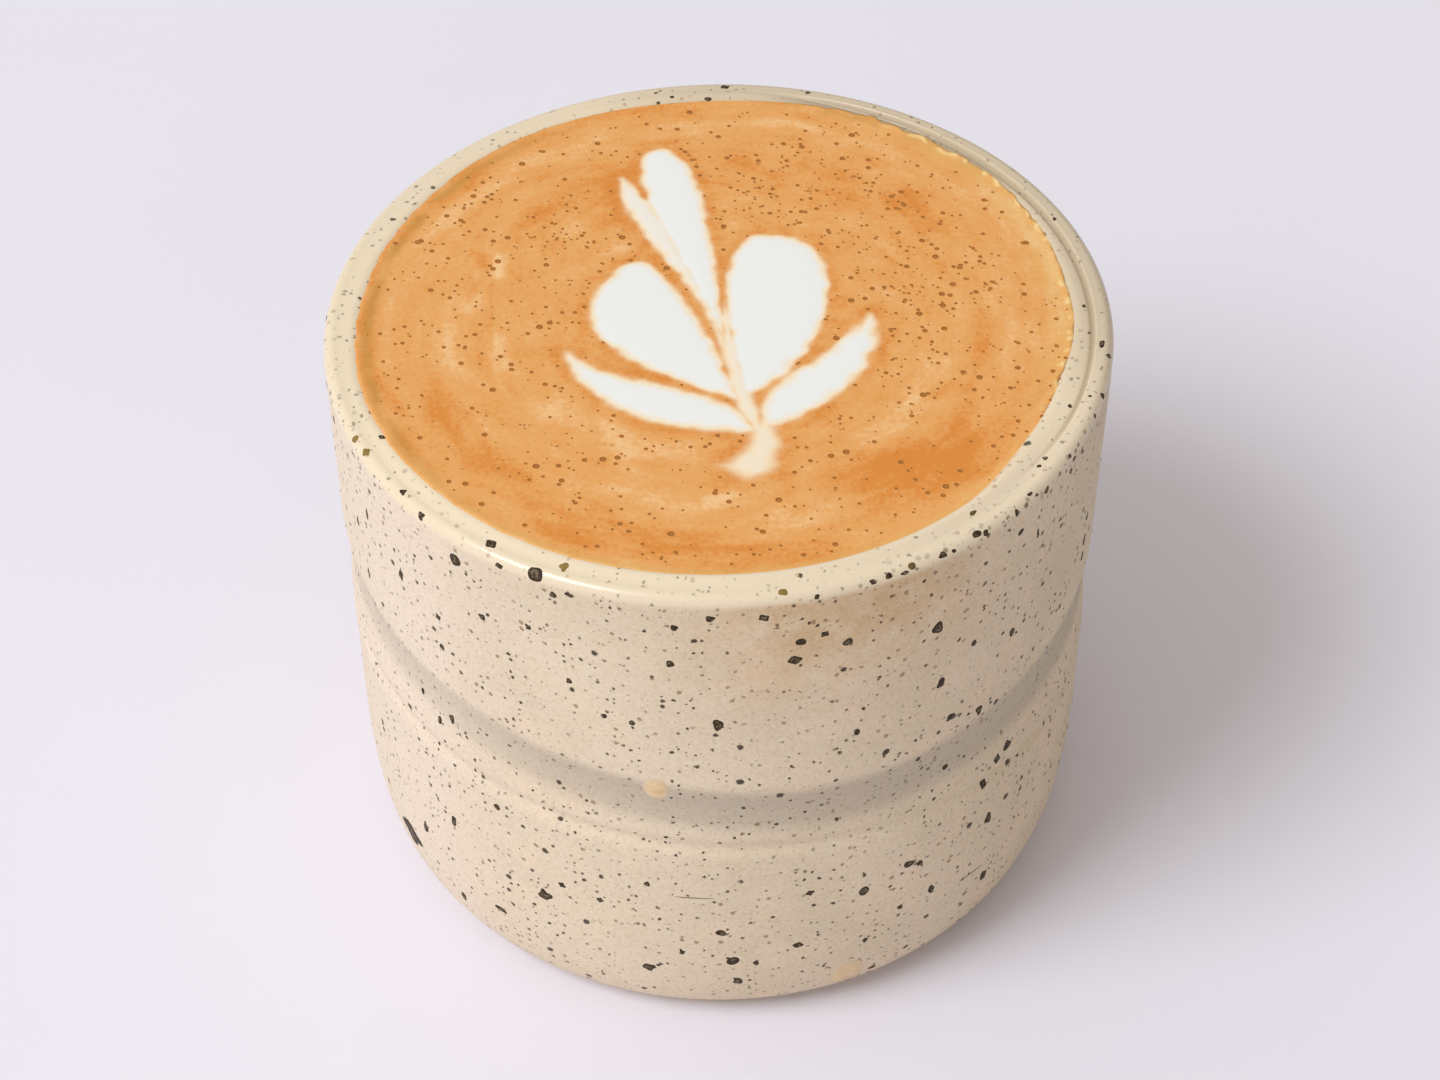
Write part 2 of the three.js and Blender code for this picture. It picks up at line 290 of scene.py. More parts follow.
def srgb(red, green, blue):
    """A colour as the eye reads it, 0 to 255, turned into the linear values that shaders take."""
    values = np.array([red, green, blue]) / 255
    linear = np.where(values <= 0.04045, values / 12.92, ((values + 0.055) / 1.055) ** 2.4)
    return (*linear.tolist(), 1.0)


def lerp(a, b, share):
    return a + (b - a) * share


def smoothstep(value, low, high):
    share = np.clip((value - low) / (high - low), 0, 1)
    return share * share * (3 - 2 * share)


def turn_from(middle, angle):
    """The turn from one angle to another, at most half a turn either way."""
    return np.arctan2(np.sin(angle - middle), np.cos(angle - middle))


def angle_between(angle, middle):
    """How far an angle is from another, without its sign."""
    return np.abs(turn_from(middle, angle))


def ripples(x, y, length, seed, count=14):
    """Smooth random ripples about that long. They lie mostly between -2 and 2."""
    waves = np.random.default_rng(seed)
    total = 0
    for _ in range(count):
        heading = waves.random() * 2 * np.pi
        stride = 2 * np.pi / (length * waves.uniform(0.7, 1.8))
        phase = waves.random() * 2 * np.pi
        total = total + np.sin(stride * (x * np.cos(heading) + y * np.sin(heading)) + phase)
    return total / math.sqrt(count / 2)


def add_mesh(name, points, faces):
    """An object from points in mm, with smooth faces."""
    mesh = bpy.data.meshes.new(name)
    mesh.from_pydata((np.asarray(points) * MM).tolist(), [], faces)
    mesh.update()
    mesh.polygons.foreach_set("use_smooth", [True] * len(mesh.polygons))
    thing = bpy.data.objects.new(name, mesh)
    bpy.context.scene.collection.objects.link(thing)
    return thing


def add_attribute(thing, name, values):
    """One number a vertex, which the thing's material reads by name."""
    attribute = thing.data.attributes.new(name, "FLOAT", "POINT")
    attribute.data.foreach_set("value", np.asarray(values, dtype=np.float32))


def dress(thing, material, replaced=None):
    """Gives a piece its material and its place in the frame."""
    thing.data.materials.append(material)
    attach(thing, "root")
    if replaced:
        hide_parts(replaced)


def revolve(rings, angles):
    """Points and faces of a closed form round the Z axis. Each ring is (radius, height) at every angle.
    The first and last rings are poles on the axis."""
    count = len(angles)
    points = [(0, 0, float(np.mean(rings[0][1])))]
    for radius, height in rings[1:-1]:
        radius = np.broadcast_to(radius, count)
        height = np.broadcast_to(height, count)
        points.extend(np.column_stack([radius * np.cos(angles), radius * np.sin(angles), height]))
    points.append((0, 0, float(np.mean(rings[-1][1]))))
    last = len(points) - 1
    faces = []
    for j in range(count):
        k = (j + 1) % count
        faces.append((0, 1 + j, 1 + k))
        for i in range(len(rings) - 3):
            low = 1 + i * count
            high = low + count
            faces.append((low + j, high + j, high + k, low + k))
        end = 1 + (len(rings) - 3) * count
        faces.append((end + j, last, end + k))
    return np.array(points, dtype=float), faces


def fan(first, sides, rings):
    """Faces of a round patch: a middle point and then its rings, from the inside out."""
    for k in range(sides):
        n = (k + 1) % sides
        yield first, first + 1 + k, first + 1 + n
        for ring in range(rings - 1):
            low = first + 1 + ring * sides
            yield low + k, low + sides + k, low + sides + n, low + n


# Cup

def rim_height(angle):
    return HEIGHT + RIM_RISE * np.cos(angle)


def rim_edge(angle):
    """Height of the rim's outer edge."""
    front = 1 - smoothstep(angle_between(angle, RIM_FRONT), *RIM_FRONT_SPAN)
    return rim_height(angle) - lerp(*RIM_SLOPE, front)


def lip_radius(angle):
    """Where the inner wall meets the drink, which lies a little to the left and has an uneven edge."""
    uneven = sum(size * (1 - smoothstep(angle_between(angle, middle), reach * 0.2, reach))
                 for middle, reach, size in LIP_BUMPS)
    return LIP_RADIUS + LIP_SHIFT * np.cos(angle) + uneven


def groove_course(angle):
    """The groove's strength, the height of its upper edge, and how high the face below that is."""
    away = turn_from(GROOVE_LOW_ANGLE, angle)
    strength = 1 - smoothstep(np.abs(away), *GROOVE_FADE)
    upper = GROOVE_LOW + GROOVE_RISE * (np.hypot(away, GROOVE_BEND) - GROOVE_BEND)
    return strength, upper, lerp(*GROOVE_LIP, smoothstep(away, -0.3, 1.2))


def groove_depth(angle, z):
    strength, upper, lip = groove_course(angle)
    below = upper - z
    face = smoothstep(below, 0, lip) * (1 - smoothstep(below, lip, lip + GROOVE_RUNOUT))
    line = TRAIL_FRONT - TRAIL_FALL * turn_from(-math.pi / 2, angle)
    trail = np.exp(-((z - line) / TRAIL_WIDTH) ** 2)
    return strength * (GROOVE_DEPTH * face + TRAIL_DEPTH * trail)


def groove_shade_band(angle, z):
    """Where shade is painted into the groove as a greyer colour, most of all from the front to the right."""
    strength, upper, lip = groove_course(angle)
    below = upper - z
    right = lerp(0.55, 1, smoothstep(np.cos(angle - math.radians(-40)), -0.2, 0.6))
    band = smoothstep(below, 0, 1.8) * (1 - smoothstep(below, lip + 0.8, lip + 3.6))
    return right * strength * band


def unevenness(angle, z):
    """The hand in the thrown wall: a slow wobble and the fine spiral of throwing lines."""
    slow = sum(size * np.sin(count * angle + tilt * z + phase) for count, tilt, size, phase in WOBBLE)
    lines = THROW_DEPTH * np.sin(2 * np.pi * z / THROW_PITCH + angle)
    return (slow + lines) * smoothstep(z, 0, 6) * (1 - smoothstep(z, HEIGHT - 5, HEIGHT - 1))


def ledge_strength(angle):
    return 1 - smoothstep(angle_between(angle, LEDGE_ANGLE), *LEDGE_SPAN)


def crease(radius):
    """The line in which the second lip meets the rim."""
    return np.exp(-((radius - LEDGE_STEP[0]) / CREASE_WIDTH) ** 2)


def turn_rings(side_radius, side_height, flat_radius, flat_height, power, steps):
    """A quarter of a superellipse from a wall to a flat."""
    for k in range(1, steps + 1):
        a = k / steps * np.pi / 2
        out = max(np.cos(a), 0) ** (2 / power)
        down = np.sin(a) ** (2 / power)
        yield lerp(flat_radius, side_radius, out), lerp(side_height, flat_height, down)


def well_rings(clearance):
    """The inside from the top of its turn to the floor, pulled in by a clearance."""
    yield WELL_RADIUS - clearance, WELL_HEIGHT
    yield from turn_rings(WELL_RADIUS - clearance, WELL_HEIGHT, FLOOR_RADIUS, FLOOR_HEIGHT + clearance,
                          FLOOR_POWER, WELL_STEPS)


def lip_rings(angle):
    """The rim's inner edge, with the second lip on the right, up to the crest."""
    inner = lip_radius(angle)
    low = COFFEE_LEVEL - LIP_DEPTH
    strength = ledge_strength(angle)
    for k in range(LIP_STEPS):
        radius = lerp(inner, RIM_RADIUS - RIM_ROUND, k / LIP_STEPS)
        slope = smoothstep(radius, RIM_SLOPE_START, RIM_RADIUS - RIM_ROUND)
        above_step = smoothstep(radius, *LEDGE_STEP)
        drop = strength * (LEDGE_DROP * (1 - above_step) + CREASE_DEPTH * crease(radius))
        top = lerp(rim_height(angle), rim_edge(angle), slope) - drop
        inward = 1 - np.minimum((radius - inner) / LIP_REACH, 1)
        yield radius, low + (top - low) * np.sqrt(1 - inward ** 2)


def outside_rings(angle):
    """From the rim's outer edge down the wall to the flat that the cup stands on."""
    top = rim_edge(angle)
    for k in range(ROUND_STEPS):
        a = (1 - k / ROUND_STEPS) * np.pi / 2
        yield RIM_RADIUS - RIM_ROUND * (1 - np.cos(a)), top - RIM_ROUND * (1 - np.sin(a))
    for k in range(WALL_STEPS + 1):
        share = k / WALL_STEPS
        z = lerp(top - RIM_ROUND, SIDE_HEIGHT, share)
        yield lerp(RIM_RADIUS, SIDE_RADIUS, share) - groove_depth(angle, z) + unevenness(angle, z), z
    for radius, z in turn_rings(SIDE_RADIUS, SIDE_HEIGHT, FOOT_RADIUS, 0, FOOT_POWER, FOOT_STEPS):
        yield max(radius, FOOT_FLAT) - groove_depth(angle, z) + unevenness(angle, z), z


def build_cup():
    angles = np.arange(CUP_SEGMENTS) / CUP_SEGMENTS * 2 * np.pi
    inside = list(well_rings(0))[::-1]
    rings = [(0, FLOOR_HEIGHT), *inside, *lip_rings(angles), *outside_rings(angles), (0, 0)]
    points, faces = revolve(rings, angles)
    cup = add_mesh("cup", points, faces)

    angle = np.arctan2(points[:, 1], points[:, 0])
    radius = np.hypot(points[:, 0], points[:, 1])
    below_edge = rim_edge(angle) - points[:, 2]
    rim = 1 - smoothstep(below_edge, *RIM_FADE)
    # Painted shade: the wall a little darker on the right, and the rim greyer and darker there
    wall_shade = 1 - smoothstep(angle_between(angle, 0), *WALL_SHADE_SPAN)
    rim_shade = 1 - smoothstep(angle_between(angle, RIM_SHADE_ANGLE), *RIM_SHADE_SPAN)
    # Painted shade in the groove's downward face
    add_attribute(cup, "groove", groove_shade_band(angle, points[:, 2]))
    add_attribute(cup, "rim", rim)
    add_attribute(cup, "right_shade", lerp(wall_shade, rim_shade, rim))
    add_attribute(cup, "pale", 1 - smoothstep(angle_between(angle, PALE_ANGLE), *PALE_SPAN))
    tan_span = 1 - smoothstep(angle_between(angle, TAN_ANGLE), *TAN_SPAN)
    add_attribute(cup, "tan", tan_span * (1 - smoothstep(below_edge, *TAN_FADE)))
    crust_span = sum(1 - smoothstep(angle_between(angle, middle), reach / 2, reach)
                     for middle, reach in CRUSTS)
    crust = crust_span * np.exp(-((below_edge - CRUST_DROP) / CRUST_WIDTH) ** 2)
    add_attribute(cup, "crust", crust * (radius > RIM_RADIUS - 2))
    # Painted shade: a dark line in the second lip's crease, and the steep inner edge beside the drink
    line = CREASE_SHADE_SHARE * ledge_strength(angle) * crease(radius)
    shade_span = 1 - smoothstep(angle_between(angle, INNER_SHADE_ANGLE), *INNER_SHADE_SPAN)
    shade = CREASE_SHADE_SHARE * shade_span * (1 - smoothstep(radius - lip_radius(angle), 0.7, 1.1))
    add_attribute(cup, "crease", np.maximum(line, shade) * (below_edge < 2))
    return cup, BVHTree.FromPolygons(points.tolist(), faces)


# Materials

class NodeTree:
    """The nodes of one material. Each method adds a node and gives the socket that comes out of it."""

    def __init__(self, name):
        self.material = bpy.data.materials.new(name)
        self.material.use_nodes = True
        self.nodes = self.material.node_tree.nodes
        self.links = self.material.node_tree.links
        self.surface = self.nodes["Principled BSDF"]

    def feed(self, socket, value):
        if isinstance(value, bpy.types.NodeSocket):
            self.links.new(value, socket)
        else:
            socket.default_value = value

    def add(self, kind, inputs, output=0, **settings):
        node = self.nodes.new("ShaderNode" + kind)
        for name, value in settings.items():
            setattr(node, name, value)
        for name, value in inputs.items():
            self.feed(node.inputs[name], value)
        return node.outputs[output]

    def place(self):
        """Where a point is on the object, in mm."""
        position = self.add("TexCoord", {}, output="Object")
        return self.add("VectorMath", {0: position, "Scale": 1 / MM}, operation="SCALE")

    def attribute(self, name):
        return self.add("Attribute", {}, output="Fac", attribute_name=name)

    def math(self, operation, a, b=0.0):
        return self.add("Math", {0: a, 1: b}, operation=operation)

    def times(self, a, b):
        return self.math("MULTIPLY", a, b)

    def plus(self, a, b):
        return self.math("ADD", a, b)

    def step(self, value, low, high):
        """0 below low and 1 above high, or the other way round if low is the larger."""
        inputs = {"Value": value, "From Min": low, "From Max": high}
        return self.add("MapRange", inputs, interpolation_type="SMOOTHSTEP")

    def mix(self, share, a, b, blend="MIX"):
        return self.add("Mix", {0: share, 6: a, 7: b}, output=2, data_type="RGBA", blend_type=blend)

    def noise(self, vector, size, detail=2.0, output=0):
        return self.add("TexNoise", {"Vector": vector, "Scale": 1 / size, "Detail": detail}, output=output)

    def swing(self, vector, size, detail=2.0):
        """Noise about zero."""
        return self.math("SUBTRACT", self.noise(vector, size, detail), 0.5)

    def shaken(self, vector, size, amount):
        """The same places, pushed about by noise."""
        push = self.noise(vector, size, output=1)
        centred = self.add("VectorMath", {0: push, 1: (0.5, 0.5, 0.5)}, operation="SUBTRACT")
        scaled = self.add("VectorMath", {0: centred, "Scale": amount * 2}, operation="SCALE")
        return self.add("VectorMath", {0: vector, 1: scaled}, operation="ADD")

    def specks(self, vector, spacing, smallest, largest, rarity):
        """Dots of random size scattered through space: 1 in a dot and 0 between.
        Rarity thins the large ones."""
        cells = self.nodes.new("ShaderNodeTexVoronoi")
        self.links.new(vector, cells.inputs["Vector"])
        cells.inputs["Scale"].default_value = 1 / spacing
        chance = self.add("SeparateColor", {0: cells.outputs["Color"]})
        grown = self.times(self.math("POWER", chance, rarity), (largest - smallest) / spacing)
        radius = self.plus(grown, smallest / spacing)
        return self.step(cells.outputs["Distance"], radius, self.times(radius, 0.6))

    def bump(self, height, distance):
        return self.add("Bump", {"Height": height, "Distance": distance * MM, "Strength": 1.0})


def stoneware_material():
    t = NodeTree("stoneware")
    place = t.place()
    rim = t.attribute("rim")

    colour = t.mix(t.step(t.noise(place, 16), 0.35, 0.65), srgb(230, 212, 186), srgb(223, 205, 178))
    colour = t.mix(t.times(t.step(t.noise(place, 5, detail=4), 0.48, 0.72), 0.7), colour, srgb(235, 211, 184))
    colour = t.mix(t.times(t.attribute("pale"), 0.8), colour, srgb(234, 216, 196))
    # Painted shade: the groove greyed and darkened, most of all from the front to the right
    colour = t.mix(t.times(t.attribute("groove"), 0.8), colour, srgb(192, 178, 159))
    thin = t.times(t.attribute("tan"), t.step(t.noise(place, 3, detail=3), 0.1, 0.7))
    colour = t.mix(t.times(thin, 0.8), colour, srgb(206, 170, 124))
    colour = t.mix(rim, colour, srgb(230, 212, 183))
    right_shade = t.attribute("right_shade")
    # Painted shade on the right: the wall a little darker, the rim greyer and darker
    colour = t.mix(right_shade, colour, srgb(244, 243, 239), blend="MULTIPLY")
    colour = t.mix(t.times(rim, right_shade), colour, srgb(208, 191, 163))
    # Painted shade in the second lip's crease and on the steep inner edge on the right
    colour = t.mix(t.times(t.attribute("crease"), 0.85), colour, srgb(132, 114, 88))
    rough = t.math("SUBTRACT", 1.0, t.times(rim, 0.8))
    grain = t.step(t.noise(place, 0.4, detail=4), 0.4, 0.75)
    colour = t.mix(t.times(rough, grain), colour, srgb(244, 240, 233), blend="MULTIPLY")

    uneven = t.shaken(place, 0.35, 0.2)
    dust = t.specks(uneven, 0.5, 0.03, 0.14, 1.2)
    fine = t.specks(uneven, 0.74, 0.04, 0.29, 2.0)
    rusty = t.specks(uneven, 1.2, 0.05, 0.34, 2.2)
    medium = t.specks(uneven, 1.9, 0.0, 0.48, 2.2)
    crust = t.times(t.specks(uneven, 0.85, 0.05, 0.36, 1.5), t.attribute("crust"))
    sparse = t.math("SUBTRACT", 1.0, t.times(rim, 0.4))
    clumps = t.plus(t.times(t.step(t.noise(place, 6), 0.38, 0.58), 0.5), 0.45)
    colour = t.mix(t.times(rough, t.times(dust, 0.26)), colour, srgb(134, 102, 66))
    colour = t.mix(t.times(sparse, t.times(rusty, 0.65)), colour, srgb(126, 88, 48))
    colour = t.mix(t.times(sparse, t.times(fine, clumps)), colour, srgb(62, 46, 28))
    colour = t.mix(t.times(t.math("MAXIMUM", medium, crust), 0.92), colour, srgb(52, 40, 24))
    t.feed(t.surface.inputs["Base Color"], colour)

    matt = t.add("MapRange", {"Value": t.noise(place, 1.2), "To Min": 0.45, "To Max": 0.65})
    t.feed(t.surface.inputs["Roughness"], t.math("SUBTRACT", matt, t.times(rim, 0.33)))
    t.feed(t.surface.inputs["Specular IOR Level"], t.plus(t.times(rim, 0.35), 0.18))
    pits = t.math("SUBTRACT", t.noise(place, 0.8, detail=4), t.times(medium, 0.8))
    t.feed(t.surface.inputs["Normal"], t.bump(t.times(rough, pits), 0.04))
    return t.material


def iron_material():
    t = NodeTree("iron_spot")
    place = t.place()
    worn = t.times(t.step(t.attribute("across"), 0.8, 0.3), t.step(t.noise(place, 0.35), 0.42, 0.62))
    colour = t.mix(worn, srgb(56, 44, 28), srgb(116, 101, 76))
    colour = t.mix(t.times(t.attribute("tint"), 0.7), colour, srgb(158, 130, 66))
    t.feed(t.surface.inputs["Base Color"], colour)
    t.surface.inputs["Roughness"].default_value = 0.55
    t.surface.inputs["Specular IOR Level"].default_value = 0.15
    t.feed(t.surface.inputs["Normal"], t.bump(t.noise(place, 0.2), 0.06))
    return t.material


def drip_material():
    t = NodeTree("dried_coffee")
    edge = t.step(t.attribute("across"), 0.45, 1.0)
    cloudy = t.step(t.noise(t.place(), 0.9), 0.35, 0.65)
    colour = t.mix(cloudy, srgb(232, 200, 150), srgb(222, 186, 134))
    t.feed(t.surface.inputs["Base Color"], t.mix(edge, colour, srgb(216, 192, 158)))
    t.surface.inputs["Roughness"].default_value = 0.25
    return t.material


def drink_material(name):
    """Crema with the milk in it. The coffee and the milk share it, so that the milk's edge fades."""
    t = NodeTree(name)
    place = t.place()
    flat = t.add("VectorMath", {0: place, 1: (1, 1, 0)}, operation="MULTIPLY")
    outward = t.add("VectorMath", {0: flat}, operation="NORMALIZE")
    radius = t.add("VectorMath", {0: flat}, output="Value", operation="LENGTH")
    around = t.add("VectorMath", {0: outward, "Scale": 9.0}, operation="SCALE")
    across = t.add("CombineXYZ", {"Z": radius})
    swirl = t.shaken(t.add("VectorMath", {0: around, 1: across}, operation="ADD"), 9, 3.0)
    tone = t.plus(t.attribute("tone"), t.times(t.swing(swirl, 1.6, 5), 1.7))
    tone = t.plus(tone, t.times(t.swing(place, 3.5, 4), 1.1))
    tone = t.plus(tone, t.times(t.swing(place, 0.5, 4), 1.4))

    colour = t.mix(t.step(tone, 0.1, -1.0), srgb(229, 165, 95), srgb(218, 136, 56))
    colour = t.mix(t.step(tone, 0.0, 1.2), colour, srgb(240, 197, 142))
    # Olive edge: crema colour with the meniscus's painted shade
    colour = t.mix(t.attribute("olive"), colour, srgb(192, 138, 62))
    colour = t.mix(t.attribute("golden"), colour, srgb(226, 178, 104))
    # Froth lumps on the right: paler foam, with painted highlights on their tops
    colour = t.mix(t.attribute("foam_and_highlights"), colour, srgb(244, 212, 150))
    froth = t.specks(t.shaken(place, 0.3, 0.06), 0.7, 0.0, 0.13, 1.6)
    colour = t.mix(t.times(froth, 0.35), colour, srgb(160, 98, 38))
    milk = t.attribute("milk")
    colour = t.mix(t.step(milk, 0.0, 0.5), colour, srgb(244, 222, 186))
    colour = t.mix(t.step(milk, 0.3, 0.95), colour, srgb(235, 235, 231))
    t.feed(t.surface.inputs["Base Color"], colour)

    dull = {"Value": t.noise(place, 5), "To Min": 0.4, "To Max": 0.55}
    t.feed(t.surface.inputs["Roughness"], t.add("MapRange", dull))
    t.surface.inputs["Specular IOR Level"].default_value = 0.25
    t.feed(t.surface.inputs["Normal"], t.bump(t.math("SUBTRACT", t.noise(place, 1.5), froth), 0.02))
    return t.material


def bubble_material():
    t = NodeTree("bubble")
    across = t.attribute("across")
    colour = t.mix(t.step(across, 0.1, 0.6), srgb(184, 120, 48), srgb(152, 92, 30))
    colour = t.mix(t.step(across, 0.65, 1.0), colour, srgb(218, 150, 78))
    t.feed(t.surface.inputs["Base Color"], colour)
    t.surface.inputs["Roughness"].default_value = 0.35
    t.surface.inputs["Specular IOR Level"].default_value = 0.3
    return t.material


# Drink

def bezier(a, b, c, d):
    share = np.linspace(0, 1, PETAL_STEPS, endpoint=False)[:, None]
    a, b, c, d = (np.array(point, dtype=float) for point in (a, b, c, d))
    rest = 1 - share
    return a * rest ** 3 + 3 * b * share * rest ** 2 + 3 * c * share ** 2 * rest + d * share ** 3


def petal_distance(petal, x, y):
    """Distance to a petal's outline, less than nothing inside it."""
    up = bezier(petal.base, *petal.up, petal.tip)
    down = bezier(petal.tip, *petal.down, petal.base)
    outline = np.vstack([up, down])
    outline[:, 1] += FIGURE_SHIFT
    place = np.column_stack([x, y])
    nearest = np.full(len(place), np.inf)
    inside = np.zeros(len(place), dtype=bool)
    for a, b in zip(outline, np.roll(outline, -1, axis=0)):
        edge = b - a
        share = np.clip((place - a) @ edge / (edge @ edge), 0, 1)
        nearest = np.minimum(nearest, np.hypot(*(place - a - share[:, None] * edge).T))
        if a[1] != b[1]:
            crossing = a[0] + (place[:, 1] - a[1]) / (b[1] - a[1]) * (b[0] - a[0])
            inside ^= ((a[1] > place[:, 1]) != (b[1] > place[:, 1])) & (place[:, 0] < crossing)
    return np.where(inside, -nearest, nearest)


def milk_cover(x, y):
    """How much milk shows at each place, and the distance to the figure's outline."""
    cover = np.zeros(len(x))
    distance = np.full(len(x), np.inf)
    ragged = PETAL_RAGGED * (ripples(x, y, 3.5, 21) + 0.6 * ripples(x, y, 1.6, 22))
    for petal in PETALS:
        away = petal_distance(petal, x, y)
        edge = away + ragged
        cover = np.maximum(cover, petal.white * smoothstep(-edge, -petal.soft / 2, petal.soft / 2))
        distance = np.minimum(distance, away)
    return cover, distance


def coffee_edge(angle):
    """How far the coffee reaches. Its shore is ragged with foam, most of all on the right."""
    right = smoothstep(np.cos(angle - SHORE_ANGLE), -0.2, 0.6)
    x, y = LIP_RADIUS * np.cos(angle), LIP_RADIUS * np.sin(angle)
    return lip_radius(angle) + COFFEE_OVERLAP + (0.05 + 0.07 * right) * ripples(x, y, 1.8, 31)


def coffee_height(x, y):
    shore = coffee_edge(np.arctan2(y, x)) - np.hypot(x, y)
    return COFFEE_LEVEL + MENISCUS * (1 - smoothstep(shore, 0.2, 1.0))


def crema_tone(x, y, milk_distance):
    """Paler and deeper strokes, the olive line inside the coffee's edge, which is partly crema colour and
    partly painted shade of the meniscus, its golden shore, and the pale lumps of froth on the right, which
    carry painted highlights."""
    radius = np.hypot(x, y)
    angle = np.degrees(np.arctan2(y, x))
    tone = BESIDE_MILK * (1 - smoothstep(milk_distance, 1.0, 2.5))
    drift = 0.5 * ripples(x, y, 9, 41)
    for stroke in STROKES:
        half = (stroke.end - stroke.start) / 2
        off = np.mod(angle - stroke.start - half + 180, 360) - 180
        middle = lerp(stroke.radius_start, stroke.radius_end, np.clip(off / half / 2 + 0.5, 0, 1))
        ends = 1 - smoothstep(np.abs(off), half * 0.4, half)
        tone = tone + stroke.tone * ends * np.exp(-((radius + drift - middle) / stroke.width) ** 2)
    shore = coffee_edge(np.radians(angle)) - radius
    broken = smoothstep(ripples(x, y, 5, 43), -1.6, 0.4)
    left = 1 - smoothstep(angle_between(np.radians(angle), OLIVE_SHADE_LEFT), 0.5, 1.1)
    far_right = 1 - smoothstep(angle_between(np.radians(angle), OLIVE_SHADE_RIGHT), 0.2, 0.55)
    # Painted shade of the meniscus where the crema climbs the wall, on the left and at the far right
    olive_meniscus_shade = 0.75 * left * np.exp(-((shore - 1.1) / 0.5) ** 2)
    olive_shore_shade = 0.6 * far_right * np.exp(-((shore - 0.5) / 0.7) ** 2)
    olive = (olive_meniscus_shade + olive_shore_shade) * broken
    right = 1 - smoothstep(angle_between(np.radians(angle), GOLDEN_RIGHT), 0.45, 0.95)
    front = 1 - smoothstep(angle_between(np.radians(angle), GOLDEN_FRONT), 0.7, 1.3)
    golden = 0.45 * right * (1 - smoothstep(shore + 0.4 * drift, 1.0, 3.4))
    golden = np.maximum(golden, 0.5 * front * (1 - smoothstep(shore, 0.3, 1.3)))
    # Pale froth lumps on the right shore, their bright tops painted highlights
    lumps = smoothstep(ripples(x, y, 0.8, 44) + ripples(x, y, 2.6, 45), 0.2, 1.6)
    foam_and_highlights = right * lumps * (1 - smoothstep(shore, 0.4, 0.9))
    return tone, olive, golden, foam_and_highlights


def paint_drink(thing, x, y):
    cover, distance = milk_cover(x, y)
    tone, olive, golden, foam_and_highlights = crema_tone(x, y, distance)
    add_attribute(thing, "milk", cover)
    add_attribute(thing, "tone", tone)
    add_attribute(thing, "olive", olive)
    add_attribute(thing, "golden", golden)
    add_attribute(thing, "foam_and_highlights", foam_and_highlights)


def build_coffee():
    angles = np.arange(DRINK_SEGMENTS) / DRINK_SEGMENTS * 2 * np.pi
    edge = coffee_edge(angles)
    rings = [(0, COFFEE_LEVEL)]
    for k in range(1, DRINK_RINGS + 1):
        radius = edge * k / DRINK_RINGS
        rings.append((radius, coffee_height(radius * np.cos(angles), radius * np.sin(angles))))
    rings += [*well_rings(GAP), (0, FLOOR_HEIGHT + GAP)]
    points, faces = revolve(rings, angles)
    coffee = add_mesh("coffee", points, faces)
    paint_drink(coffee, points[:, 0], points[:, 1])
    return coffee


def build_milk():
    """The cells of a round grid that the figure covers, as a thin closed lens let into the coffee."""
    angles = np.arange(DRINK_SEGMENTS) / DRINK_SEGMENTS * 2 * np.pi
    radii = LIP_RADIUS * (np.arange(DRINK_RINGS) + 0.5) / DRINK_RINGS
    x = np.append(0, np.outer(radii, np.cos(angles)))
    y = np.append(0, np.outer(radii, np.sin(angles)))
    _, distance = milk_cover(x, y)
    covered = distance < MILK_MARGIN
    grid = fan(0, DRINK_SEGMENTS, DRINK_RINGS)
    cells = [cell for cell in grid if all(covered[corner] for corner in cell)]
    used = sorted({corner for cell in cells for corner in cell})
    number = {corner: n for n, corner in enumerate(used)}
    cells = [tuple(number[corner] for corner in cell) for cell in cells]
    x, y, distance = x[used], y[used], distance[used]

    surface = coffee_height(x, y)
    crown = lerp(-0.02, MILK_CROWN, smoothstep(-distance, -MILK_MARGIN, 1.5))
    depth = lerp(0.05, MILK_DEPTH, smoothstep(-distance, -MILK_MARGIN, 0))
    top = np.column_stack([x, y, surface + crown])
    bottom = np.column_stack([x, y, surface - depth])
    count = len(used)
    edges = {(a, b) for cell in cells for a, b in zip(cell, cell[1:] + cell[:1])}
    rim = [(a, b) for a, b in edges if (b, a) not in edges]
    faces = [*cells, *(tuple(count + corner for corner in reversed(cell)) for cell in cells)]
    faces += [(b, a, count + a, count + b) for a, b in rim]
    milk = add_mesh("milk_tulip", np.vstack([top, bottom]), faces)
    paint_drink(milk, np.tile(x, 2), np.tile(y, 2))
    return milk


